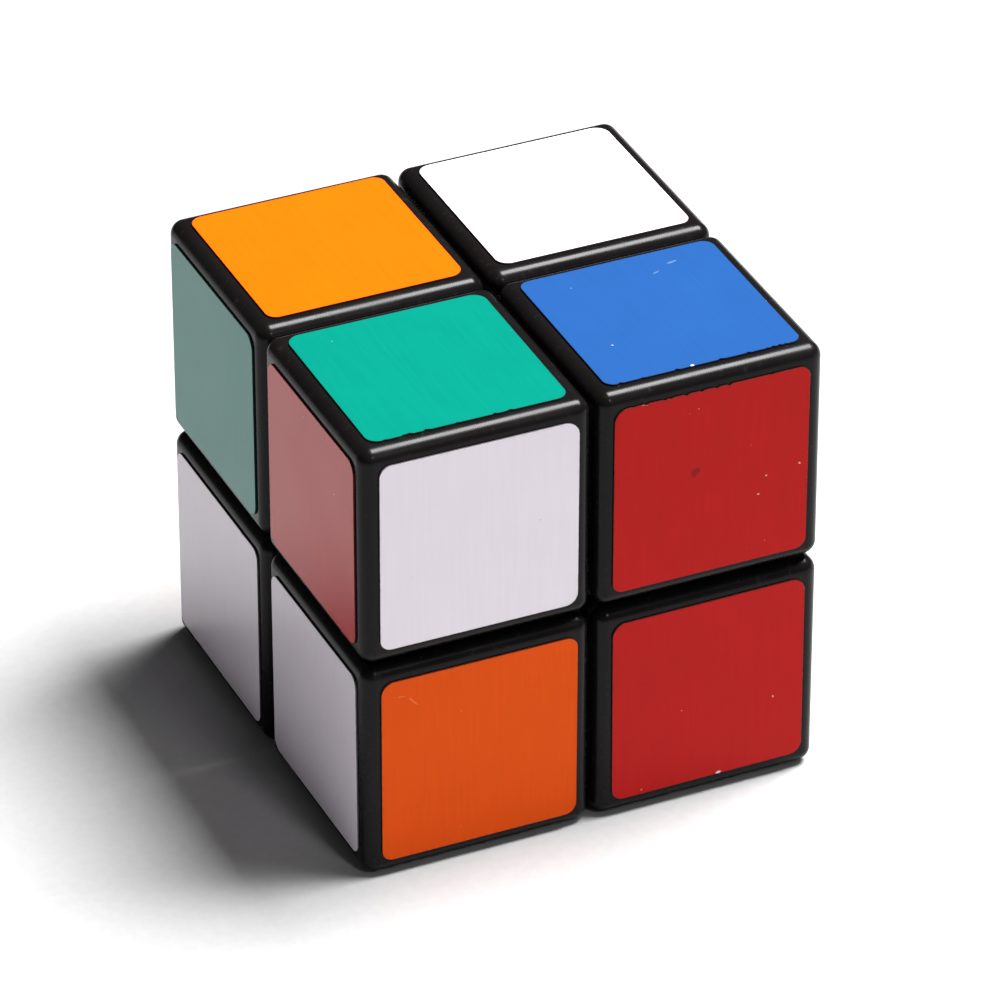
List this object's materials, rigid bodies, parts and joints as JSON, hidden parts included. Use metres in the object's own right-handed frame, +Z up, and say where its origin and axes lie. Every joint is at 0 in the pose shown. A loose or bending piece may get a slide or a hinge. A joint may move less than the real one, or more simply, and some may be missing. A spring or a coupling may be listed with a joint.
{
  "type": "pocket puzzle cube",
  "caption": "Twisty puzzle cube of corner cubies with coloured stickers around a hidden ball core; every face layer turns without limit.",
  "frame": {"origin": "middle of the underside, where the down stickers rest", "axes": "+Z up, -Y out of the front face, -X out of the left face"},
  "size_m": [0.05, 0.05, 0.05],
  "materials": {
    "black_plastic": "glossy moulded ABS",
    "foot_plastic": "satin moulded ABS, greased where it slides",
    "inner_plastic": "satin moulded ABS, greased where it slides",
    "core_plastic": "natural moulded nylon",
    "screw_steel": "zinc-plated steel screws, springs and washers",
    "sticker_white": "glossy vinyl",
    "sticker_yellow": "glossy vinyl",
    "sticker_red": "glossy vinyl",
    "sticker_orange": "glossy vinyl",
    "sticker_green": "glossy vinyl",
    "sticker_blue": "glossy vinyl"
  },
  "bodies": {
    "core": {"core": "core_plastic"},
    "centre_up": {"centre_up": "inner_plastic"},
    "centre_down": {"centre_down": "inner_plastic"},
    "centre_front": {"centre_front": "inner_plastic"},
    "centre_back": {"centre_back": "inner_plastic"},
    "centre_left": {"centre_left": "inner_plastic"},
    "centre_right": {"centre_right": "inner_plastic"},
    "edge_UF": {"edge_UF": "inner_plastic"},
    "edge_UB": {"edge_UB": "inner_plastic"},
    "edge_UL": {"edge_UL": "inner_plastic"},
    "edge_UR": {"edge_UR": "inner_plastic"},
    "edge_DF": {"edge_DF": "inner_plastic"},
    "edge_DB": {"edge_DB": "inner_plastic"},
    "edge_DL": {"edge_DL": "inner_plastic"},
    "edge_DR": {"edge_DR": "inner_plastic"},
    "edge_FL": {"edge_FL": "inner_plastic"},
    "edge_FR": {"edge_FR": "inner_plastic"},
    "edge_BL": {"edge_BL": "inner_plastic"},
    "edge_BR": {"edge_BR": "inner_plastic"},
    "corner_UFL": {"cap_UFL": "black_plastic", "foot_UFL": "foot_plastic", "sticker_UFL_up": "sticker_green", "sticker_UFL_front": "sticker_white", "sticker_UFL_left": "sticker_red"},
    "corner_UFR": {"cap_UFR": "black_plastic", "foot_UFR": "foot_plastic", "sticker_UFR_up": "sticker_blue", "sticker_UFR_front": "sticker_red", "sticker_UFR_right": "sticker_yellow"},
    "corner_UBL": {"cap_UBL": "black_plastic", "foot_UBL": "foot_plastic", "sticker_UBL_up": "sticker_orange", "sticker_UBL_back": "sticker_yellow", "sticker_UBL_left": "sticker_green"},
    "corner_UBR": {"cap_UBR": "black_plastic", "foot_UBR": "foot_plastic", "sticker_UBR_up": "sticker_white", "sticker_UBR_back": "sticker_blue", "sticker_UBR_right": "sticker_red"},
    "corner_DFL": {"cap_DFL": "black_plastic", "foot_DFL": "foot_plastic", "sticker_DFL_down": "sticker_blue", "sticker_DFL_front": "sticker_orange", "sticker_DFL_left": "sticker_white"},
    "corner_DFR": {"cap_DFR": "black_plastic", "foot_DFR": "foot_plastic", "sticker_DFR_down": "sticker_green", "sticker_DFR_front": "sticker_red", "sticker_DFR_right": "sticker_yellow"},
    "corner_DBL": {"cap_DBL": "black_plastic", "foot_DBL": "foot_plastic", "sticker_DBL_down": "sticker_green", "sticker_DBL_back": "sticker_orange", "sticker_DBL_left": "sticker_white"},
    "corner_DBR": {"cap_DBR": "black_plastic", "foot_DBR": "foot_plastic", "sticker_DBR_down": "sticker_yellow", "sticker_DBR_back": "sticker_orange", "sticker_DBR_right": "sticker_blue"}
  },
  "joints": [
    {"name": "turn_up", "type": "hinge", "parent": "core", "child": "centre_up", "pos_m": [0, 0, 0.025], "axis": [0, 0, 1], "continuous": true},
    {"name": "centre_down_with_down", "type": "hinge", "parent": "core", "child": "centre_down", "pos_m": [0, 0, 0.025], "axis": [0, 0, -1], "continuous": true},
    {"name": "turn_front", "type": "hinge", "parent": "core", "child": "centre_front", "pos_m": [0, 0, 0.025], "axis": [0, -1, 0], "continuous": true},
    {"name": "turn_back", "type": "hinge", "parent": "core", "child": "centre_back", "pos_m": [0, 0, 0.025], "axis": [0, 1, 0], "continuous": true},
    {"name": "turn_left", "type": "hinge", "parent": "core", "child": "centre_left", "pos_m": [0, 0, 0.025], "axis": [-1, 0, 0], "continuous": true},
    {"name": "turn_right", "type": "hinge", "parent": "core", "child": "centre_right", "pos_m": [0, 0, 0.025], "axis": [1, 0, 0], "continuous": true},
    {"name": "edge_UF_with_front", "type": "hinge", "parent": "centre_up", "child": "edge_UF", "pos_m": [0, 0, 0.025], "axis": [0, -1, 0], "continuous": true},
    {"name": "edge_UB_with_back", "type": "hinge", "parent": "centre_up", "child": "edge_UB", "pos_m": [0, 0, 0.025], "axis": [0, 1, 0], "continuous": true},
    {"name": "edge_UL_with_left", "type": "hinge", "parent": "centre_up", "child": "edge_UL", "pos_m": [0, 0, 0.025], "axis": [-1, 0, 0], "continuous": true},
    {"name": "edge_UR_with_right", "type": "hinge", "parent": "centre_up", "child": "edge_UR", "pos_m": [0, 0, 0.025], "axis": [1, 0, 0], "continuous": true},
    {"name": "turn_down", "type": "hinge", "parent": "centre_front", "child": "edge_DF", "pos_m": [0, 0, 0.025], "axis": [0, 0, -1], "continuous": true},
    {"name": "edge_DB_with_down", "type": "hinge", "parent": "centre_back", "child": "edge_DB", "pos_m": [0, 0, 0.025], "axis": [0, 0, -1], "continuous": true},
    {"name": "edge_DL_with_down", "type": "hinge", "parent": "centre_left", "child": "edge_DL", "pos_m": [0, 0, 0.025], "axis": [0, 0, -1], "continuous": true},
    {"name": "edge_DR_with_down", "type": "hinge", "parent": "centre_right", "child": "edge_DR", "pos_m": [0, 0, 0.025], "axis": [0, 0, -1], "continuous": true},
    {"name": "edge_FL_with_front", "type": "hinge", "parent": "centre_left", "child": "edge_FL", "pos_m": [0, 0, 0.025], "axis": [0, -1, 0], "continuous": true},
    {"name": "edge_FR_with_right", "type": "hinge", "parent": "centre_front", "child": "edge_FR", "pos_m": [0, 0, 0.025], "axis": [1, 0, 0], "continuous": true},
    {"name": "edge_BL_with_left", "type": "hinge", "parent": "centre_back", "child": "edge_BL", "pos_m": [0, 0, 0.025], "axis": [-1, 0, 0], "continuous": true},
    {"name": "edge_BR_with_back", "type": "hinge", "parent": "centre_right", "child": "edge_BR", "pos_m": [0, 0, 0.025], "axis": [0, 1, 0], "continuous": true},
    {"name": "corner_UFL_with_left", "type": "hinge", "parent": "edge_UF", "child": "corner_UFL", "pos_m": [0, 0, 0.025], "axis": [-1, 0, 0], "continuous": true},
    {"name": "corner_UFR_with_right", "type": "hinge", "parent": "edge_UF", "child": "corner_UFR", "pos_m": [0, 0, 0.025], "axis": [1, 0, 0], "continuous": true},
    {"name": "corner_UBL_with_left", "type": "hinge", "parent": "edge_UB", "child": "corner_UBL", "pos_m": [0, 0, 0.025], "axis": [-1, 0, 0], "continuous": true},
    {"name": "corner_UBR_with_right", "type": "hinge", "parent": "edge_UB", "child": "corner_UBR", "pos_m": [0, 0, 0.025], "axis": [1, 0, 0], "continuous": true},
    {"name": "corner_DFL_with_left", "type": "hinge", "parent": "edge_DF", "child": "corner_DFL", "pos_m": [0, 0, 0.025], "axis": [-1, 0, 0], "continuous": true},
    {"name": "corner_DFR_with_right", "type": "hinge", "parent": "edge_DF", "child": "corner_DFR", "pos_m": [0, 0, 0.025], "axis": [1, 0, 0], "continuous": true},
    {"name": "corner_DBL_with_left", "type": "hinge", "parent": "edge_DB", "child": "corner_DBL", "pos_m": [0, 0, 0.025], "axis": [-1, 0, 0], "continuous": true},
    {"name": "corner_DBR_with_right", "type": "hinge", "parent": "edge_DB", "child": "corner_DBR", "pos_m": [0, 0, 0.025], "axis": [1, 0, 0], "continuous": true}
  ],
  "couplings": [
    {"joint": "centre_down_with_down", "follows": "turn_down", "ratio": 1},
    {"joint": "edge_UF_with_front", "follows": "turn_front", "ratio": 1},
    {"joint": "edge_UB_with_back", "follows": "turn_back", "ratio": 1},
    {"joint": "edge_UL_with_left", "follows": "turn_left", "ratio": 1},
    {"joint": "edge_UR_with_right", "follows": "turn_right", "ratio": 1},
    {"joint": "edge_DB_with_down", "follows": "turn_down", "ratio": 1},
    {"joint": "edge_DL_with_down", "follows": "turn_down", "ratio": 1},
    {"joint": "edge_DR_with_down", "follows": "turn_down", "ratio": 1},
    {"joint": "edge_FL_with_front", "follows": "turn_front", "ratio": 1},
    {"joint": "edge_FR_with_right", "follows": "turn_right", "ratio": 1},
    {"joint": "edge_BL_with_left", "follows": "turn_left", "ratio": 1},
    {"joint": "edge_BR_with_back", "follows": "turn_back", "ratio": 1},
    {"joint": "corner_UFL_with_left", "follows": "turn_left", "ratio": 1},
    {"joint": "corner_UFR_with_right", "follows": "turn_right", "ratio": 1},
    {"joint": "corner_UBL_with_left", "follows": "turn_left", "ratio": 1},
    {"joint": "corner_UBR_with_right", "follows": "turn_right", "ratio": 1},
    {"joint": "corner_DFL_with_left", "follows": "turn_left", "ratio": 1},
    {"joint": "corner_DFR_with_right", "follows": "turn_right", "ratio": 1},
    {"joint": "corner_DBL_with_left", "follows": "turn_left", "ratio": 1},
    {"joint": "corner_DBR_with_right", "follows": "turn_right", "ratio": 1}
  ]
}
